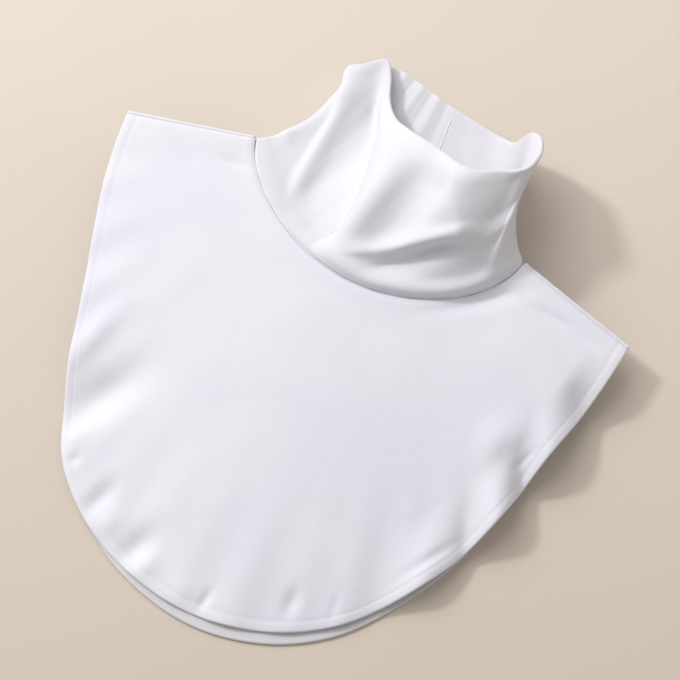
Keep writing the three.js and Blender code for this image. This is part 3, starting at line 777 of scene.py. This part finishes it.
# The grid: columns stand closest together at the folds on the wearer's right. Rows go up the outside,
# over the rim in a half circle and down the inside.
COLLAR_COLUMNS = 380
CLOSEST_AT = 0.86
CLOSER_BY = 0.045
FOOT_ROWS = (0, 0.015, 0.03, 0.045)
OUTSIDE_ROWS = 58
OUTSIDE_START = 0.06
RIM_ROWS = 7
INSIDE_ROWS = 46
INSIDE_END = 0.02
even_turn = np.linspace(0, 1, COLLAR_COLUMNS, endpoint=False)[:, None]
collar_turn = even_turn - CLOSER_BY * np.sin(2 * np.pi * (even_turn - CLOSEST_AT))
up_outside = np.r_[FOOT_ROWS, np.linspace(OUTSIDE_START, 1, OUTSIDE_ROWS)][None, :]
down_inside = np.linspace(1, INSIDE_END, INSIDE_ROWS)[None, :]
over_rim = np.linspace(0, np.pi, RIM_ROWS + 2)[1:-1, None]
rim = np.ones((1, 1))
rim_centre = collar_wall(collar_turn, rim)
rim_out = facing(collar_wall, collar_turn, rim)
rim_up = unit(rim_centre - collar_wall(collar_turn, rim - HIGH_STEP))
over = rim_centre + RIM_GAP * (np.cos(over_rim) * rim_out + np.sin(over_rim) * rim_up)
collar_grid = np.concatenate([
    layer(collar_turn, up_outside, 1), over, layer(collar_turn, down_inside, -1)], 1)
collar = cloth_piece("collar_fold", collar_grid, closed=True)
collar.data.materials.append(jersey("white cotton jersey, collar", COLLAR_FACE, COLLAR_SHADE, uv_map="knit"))

# The knit follows the tube: its wales run up the wall, whose length is measured along the rows
knit_map = collar.data.uv_layers.new(name="knit")
columns, rows = collar_grid.shape[:2]
around = np.linspace(0, KNIT_ROUND, columns + 1)
steps = np.linalg.norm(np.diff(collar_grid, axis=1), axis=-1).mean(0)
upward = np.r_[0, np.cumsum(steps)] * MM
corner_column = np.arange(columns)[:, None, None] + np.array([0, 1, 1, 0])
corner_row = np.arange(rows - 1)[None, :, None] + np.array([0, 0, 1, 1])
uv = np.stack(np.broadcast_arrays(around[corner_column], upward[corner_row]), -1)
knit_map.data.foreach_set("uv", uv.reshape(-1).astype(np.float32))
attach(collar, "root")
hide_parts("collar")


# Centre back seam
# The tube's one upright seam, at the middle of the back, pressed flat. It shows inside the open
# rim as a thin line from the fold downwards, raised a little by the cloth's edges under it.
BACK_SEAM_TURN = 0.466
BACK_SEAM_TOP = 0.985
BACK_SEAM_FOOT = 0.4
BACK_SEAM_HALF_WIDTH = 0.72
BACK_SEAM_HALF_HEIGHT = 0.3
BACK_SEAM_STEPS = 60
BACK_SEAM_TAPER = 4
seam_high = np.linspace(BACK_SEAM_TOP, BACK_SEAM_FOOT, BACK_SEAM_STEPS)
seam_turn = np.full(BACK_SEAM_STEPS, BACK_SEAM_TURN)
seam_out = facing(collar_wall, seam_turn, seam_high)
seam_line = collar_wall(seam_turn, seam_high) - seam_out * (HALF_GAP + CLOTH / 2)
seam_side = np.cross(unit(np.gradient(seam_line, axis=0)), seam_out)
from_end = np.minimum(np.arange(BACK_SEAM_STEPS), np.arange(BACK_SEAM_STEPS)[::-1])
seam_fade = np.sqrt(np.clip(from_end / BACK_SEAM_TAPER, 0.02, 1))
back_seam = roll("collar_back_seam", seam_line, seam_side, seam_out, BACK_SEAM_HALF_WIDTH * seam_fade,
                 BACK_SEAM_HALF_HEIGHT * seam_fade)
back_seam.data.materials.append(seam_jersey)
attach(back_seam, "root")


# Table top
# A warm pale painted board under the dickey, matt and very finely rough, with a faint cloudy tone.
# Its colour grows darker towards the hem: painted shade for the light falling off across the table.
TABLE_SIZE = 8.0
TABLE_BELOW = 0.0001
TABLE_CLOUD = 0.111
TABLE_GRAIN = 0.00385
TABLE_FACE = "#DDD3C8"
TABLE_SHADE = "#D9CEC2"
# The colour towards the hem is painted shade, for the light falling off across the table.
TABLE_PAINTED_SHADE = "#CBBFB2"
TOWARDS_HEAD = (-0.3, 0.95, 0.0)
SHADE_START_AT = 0.25
FULL_SHADE_AT = -0.3

bpy.ops.mesh.primitive_plane_add(size=TABLE_SIZE, location=(0, 0, -TABLE_BELOW))
table_top = bpy.context.object
table_top.name = "table_top"
table = new_material("matt painted table top, painted shade towards the hem")
spot = add_node(table, "ShaderNodeTexCoord").outputs["Object"]
cloudy = add_node(table, "ShaderNodeTexNoise", {"Vector": spot, "Scale": 1 / TABLE_CLOUD, "Detail": 4.0})
grain = add_node(table, "ShaderNodeTexNoise", {"Vector": spot, "Scale": 1 / TABLE_GRAIN, "Detail": 3.0})
paint_tone = add_node(table, "ShaderNodeMix",
                      {"Factor": cloudy, 6: srgb(TABLE_FACE), 7: srgb(TABLE_SHADE)},
                      data_type="RGBA").outputs[2]
towards_head = add_node(table, "ShaderNodeVectorMath", {0: spot, 1: TOWARDS_HEAD},
                        operation="DOT_PRODUCT").outputs[1]
# Painted shade: towards the hem the paint's tone is mixed into the darker colour.
painted_shade_share = add_node(table, "ShaderNodeMapRange",
                  {"Value": towards_head, "From Min": SHADE_START_AT, "From Max": FULL_SHADE_AT})
tone = add_node(table, "ShaderNodeMix", {"Factor": painted_shade_share, 6: paint_tone, 7: srgb(TABLE_PAINTED_SHADE)},
                data_type="RGBA").outputs[2]
rough = add_node(table, "ShaderNodeBump", {"Height": grain, "Strength": 0.15, "Distance": 0.0006})
paint = add_node(table, "ShaderNodeBsdfPrincipled", {"Base Color": tone, "Roughness": 0.85, "Normal": rough})
add_node(table, "ShaderNodeOutputMaterial", {"Surface": paint})
table_top.data.materials.append(table)


# Light
# Daylight from all round, a wide window high up between the head and the wearer's right, and a
# small soft lamp on the wearer's right that draws the shadows.
ROOM_COLOUR = (1.0, 0.965, 0.93, 1.0)
ROOM_STRENGTH = 0.47
WINDOW_PLACE = (-2.22, 1.28, 3.07)
WINDOW_SIZE = 3.2
WINDOW_WATTS = 90
WINDOW_COLOUR = (1.0, 0.975, 0.95)
LAMP_DISTANCE = 2.6
LAMP_DIRECTION = np.array([-0.98, 0.199, 0.0])
LAMP_ELEVATION = np.radians(42.5)
LAMP_SIZE = 0.34
LAMP_WATTS = 27
LAMP_COLOUR = (0.97, 0.98, 1.0)


def aim(thing, place, target):
    """Puts a lamp or camera at a place, looking at the target."""
    thing.location = Vector(place)
    thing.rotation_euler = (Vector(target) - Vector(place)).to_track_quat("-Z", "Y").to_euler()


def area_light(name, place, shape, size, watts, colour):
    """A flat lamp at a place, turned to the middle of the table."""
    data = bpy.data.lights.new(name, "AREA")
    data.shape, data.size, data.energy, data.color = shape, size, watts, colour
    light = bpy.data.objects.new(name, data)
    bpy.context.scene.collection.objects.link(light)
    aim(light, place, (0, 0, 0))


world = bpy.data.worlds.new("soft room light")
bpy.context.scene.world = world
world.use_nodes = True
world.node_tree.nodes["Background"].inputs[0].default_value = ROOM_COLOUR
world.node_tree.nodes["Background"].inputs[1].default_value = ROOM_STRENGTH
lamp_place = LAMP_DISTANCE * (LAMP_DIRECTION * np.cos(LAMP_ELEVATION) + [0, 0, np.sin(LAMP_ELEVATION)])
area_light("soft lamp", lamp_place, "DISK", LAMP_SIZE, LAMP_WATTS, LAMP_COLOUR)
area_light("window", WINDOW_PLACE, "SQUARE", WINDOW_SIZE, WINDOW_WATTS, WINDOW_COLOUR)


# Camera
# It looks down steeply from the hem's side, turned a little towards the wearer's left, and its
# frame holds the whole dickey.
VIEW_AZIMUTH = np.radians(26.03)
VIEW_ELEVATION = np.radians(78.0)
VIEW_DISTANCE = 1.3
VIEW_WIDTH = 0.46785
VIEW_ASIDE = 10.3
VIEW_DOWN = 74.2
SENSOR = 36

view_target = np.array([VIEW_ASIDE, GARMENT_Y - VIEW_DOWN, 0]) * MM
to_camera = np.array([np.sin(VIEW_AZIMUTH) * np.cos(VIEW_ELEVATION),
                      -np.cos(VIEW_AZIMUTH) * np.cos(VIEW_ELEVATION), np.sin(VIEW_ELEVATION)])
camera_data = bpy.data.cameras.new("camera")
camera_data.sensor_width = SENSOR
camera_data.lens = SENSOR * VIEW_DISTANCE / VIEW_WIDTH
camera = bpy.data.objects.new("camera", camera_data)
bpy.context.scene.collection.objects.link(camera)
aim(camera, view_target + VIEW_DISTANCE * to_camera, view_target)
bpy.context.scene.camera = camera
bpy.context.scene.view_settings.view_transform = "Standard"
